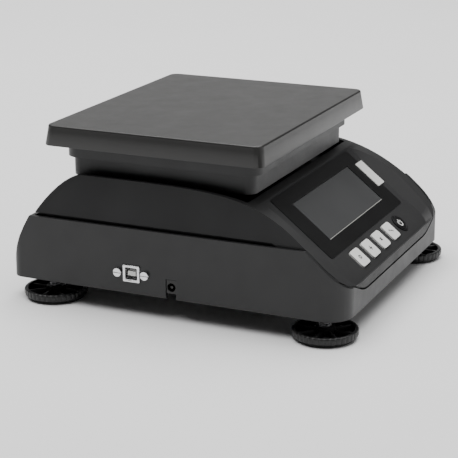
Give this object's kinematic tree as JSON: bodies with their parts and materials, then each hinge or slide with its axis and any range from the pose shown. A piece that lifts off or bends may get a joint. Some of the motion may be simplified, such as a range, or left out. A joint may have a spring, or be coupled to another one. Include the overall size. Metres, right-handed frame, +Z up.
{
  "type": "counting scale",
  "caption": "Compact bench counting scale: removable platter on a sprung carrier over a load cell, arched housing, sloping display panel with press keys and screw feet.",
  "frame": {"origin": "on the surface the four feet stand on, under the middle of the whole footprint", "axes": "+X to the user's right, -Y the front with the display panel, +Z up; the two sockets are on the -X side"},
  "size_m": [0.2172, 0.239, 0.1179],
  "materials": {
    "housing_lower_plastic": "fine moulded texture, satin",
    "housing_upper_plastic": "fine moulded texture, satin",
    "carrier_plastic": "fine moulded texture, satin",
    "platter_plastic": "satin, lighter than the housing",
    "foot_plastic": "moulded black, slightly glossy",
    "foot_rubber": "matt black",
    "cushion_rubber": "matt black",
    "stud_steel": "zinc-plated, threaded",
    "insert_brass": "turned brass",
    "screw_steel": "zinc-plated",
    "socket_steel": "bright plated sheet",
    "socket_white": "moulded white",
    "socket_black": "moulded black",
    "cell_aluminium": "milled",
    "bracket_aluminium": "cast and milled",
    "board_green": "solder mask",
    "component_black": "moulded",
    "cable_black": "PVC jacket",
    "ribbon_grey": "PVC ribbon",
    "display_body": "unlit display behind its frame",
    "window_clear": "smoked clear plastic",
    "film_black": "printed film, satin",
    "plate_white": "printed plate, blank",
    "key_white": "moulded white",
    "key_black": "moulded black"
  },
  "bodies": {
    "housing": {"lower_housing": "housing_lower_plastic", "upper_housing": "housing_upper_plastic", "foot_inserts": "insert_brass", "housing_screws": "screw_steel", "cell_bracket": "bracket_aluminium", "bracket_screws": "screw_steel", "load_cell": "cell_aluminium", "cell_lower_screws": "screw_steel", "overload_stop": "screw_steel", "cell_cable": "cable_black", "main_board": "board_green", "main_board_parts": "component_black", "main_board_screws": "screw_steel", "usb_shell": "socket_steel", "usb_insulator": "socket_white", "usb_board": "board_green", "usb_screws": "socket_steel", "usb_nuts": "socket_steel", "dc_jack": "socket_black", "display_board": "board_green", "display_board_screws": "screw_steel", "display_module": "display_body", "display_ribbon": "ribbon_grey", "key_switches": "component_black", "display_window": "window_clear", "panel_overlay": "film_black", "name_plate": "plate_white"},
    "key_1": {"key_1": "key_white"},
    "key_2": {"key_2": "key_white"},
    "key_3": {"key_3": "key_white"},
    "key_4": {"key_4": "key_white"},
    "power_key": {"power_key": "key_black"},
    "carrier": {"carrier": "carrier_plastic", "cell_spacer": "cell_aluminium", "cell_upper_screws": "screw_steel", "platter_cushions": "cushion_rubber"},
    "platter": {"platter": "platter_plastic"},
    "foot_sole_front_left": {"foot_sole_front_left": "foot_rubber"},
    "foot_sole_front_right": {"foot_sole_front_right": "foot_rubber"},
    "foot_sole_rear_left": {"foot_sole_rear_left": "foot_rubber"},
    "foot_sole_rear_right": {"foot_sole_rear_right": "foot_rubber"},
    "foot_knob_front_left": {"foot_knob_front_left": "foot_plastic", "foot_stud_front_left": "stud_steel"},
    "foot_knob_front_right": {"foot_knob_front_right": "foot_plastic", "foot_stud_front_right": "stud_steel"},
    "foot_knob_rear_left": {"foot_knob_rear_left": "foot_plastic", "foot_stud_rear_left": "stud_steel"},
    "foot_knob_rear_right": {"foot_knob_rear_right": "foot_plastic", "foot_stud_rear_right": "stud_steel"}
  },
  "joints": [
    {"name": "weigh_travel", "type": "slide", "parent": "housing", "child": "carrier", "axis": [0, 0, -1], "range_m": [0, 0.0005], "stiffness_N_per_m": 60000, "springref_m": -0.00006, "deforming": ["load_cell"]},
    {"name": "platter_lift", "type": "slide", "parent": "carrier", "child": "platter", "axis": [0, 0, 1], "range_m": [0, 0.04]},
    {"name": "key_1_press", "type": "slide", "parent": "housing", "child": "key_1", "axis": [0, 0.6184, -0.7859], "range_m": [0, 0.0004], "stiffness_N_per_m": 1500, "springref_m": -0.0002},
    {"name": "key_2_press", "type": "slide", "parent": "housing", "child": "key_2", "axis": [0, 0.6184, -0.7859], "range_m": [0, 0.0004], "stiffness_N_per_m": 1500, "springref_m": -0.0002},
    {"name": "key_3_press", "type": "slide", "parent": "housing", "child": "key_3", "axis": [0, 0.6184, -0.7859], "range_m": [0, 0.0004], "stiffness_N_per_m": 1500, "springref_m": -0.0002},
    {"name": "key_4_press", "type": "slide", "parent": "housing", "child": "key_4", "axis": [0, 0.6184, -0.7859], "range_m": [0, 0.0004], "stiffness_N_per_m": 1500, "springref_m": -0.0002},
    {"name": "power_key_press", "type": "slide", "parent": "housing", "child": "power_key", "axis": [0, 0.6184, -0.7859], "range_m": [0, 0.0004], "stiffness_N_per_m": 1500, "springref_m": -0.0002},
    {"name": "foot_travel_front_left", "type": "slide", "parent": "housing", "child": "foot_sole_front_left", "axis": [0, 0, 1], "range_m": [-0.00624, 0.00624]},
    {"name": "foot_turn_front_left", "type": "hinge", "parent": "foot_sole_front_left", "child": "foot_knob_front_left", "pos_m": [-0.0876, -0.0985, 0], "axis": [0, 0, 1], "range_deg": [-1800, 1800]},
    {"name": "foot_travel_front_right", "type": "slide", "parent": "housing", "child": "foot_sole_front_right", "axis": [0, 0, 1], "range_m": [-0.00624, 0.00624]},
    {"name": "foot_turn_front_right", "type": "hinge", "parent": "foot_sole_front_right", "child": "foot_knob_front_right", "pos_m": [0.0876, -0.0985, 0], "axis": [0, 0, 1], "range_deg": [-1800, 1800]},
    {"name": "foot_travel_rear_left", "type": "slide", "parent": "housing", "child": "foot_sole_rear_left", "axis": [0, 0, 1], "range_m": [-0.00624, 0.00624]},
    {"name": "foot_turn_rear_left", "type": "hinge", "parent": "foot_sole_rear_left", "child": "foot_knob_rear_left", "pos_m": [-0.0876, 0.0933, 0], "axis": [0, 0, 1], "range_deg": [-1800, 1800]},
    {"name": "foot_travel_rear_right", "type": "slide", "parent": "housing", "child": "foot_sole_rear_right", "axis": [0, 0, 1], "range_m": [-0.00624, 0.00624]},
    {"name": "foot_turn_rear_right", "type": "hinge", "parent": "foot_sole_rear_right", "child": "foot_knob_rear_right", "pos_m": [0.0876, 0.0933, 0], "axis": [0, 0, 1], "range_deg": [-1800, 1800]}
  ],
  "couplings": [
    {"joint": "foot_turn_front_left", "follows": "foot_travel_front_left", "rad_per_m": 5026.5},
    {"joint": "foot_turn_front_right", "follows": "foot_travel_front_right", "rad_per_m": 5026.5},
    {"joint": "foot_turn_rear_left", "follows": "foot_travel_rear_left", "rad_per_m": 5026.5},
    {"joint": "foot_turn_rear_right", "follows": "foot_travel_rear_right", "rad_per_m": 5026.5}
  ]
}
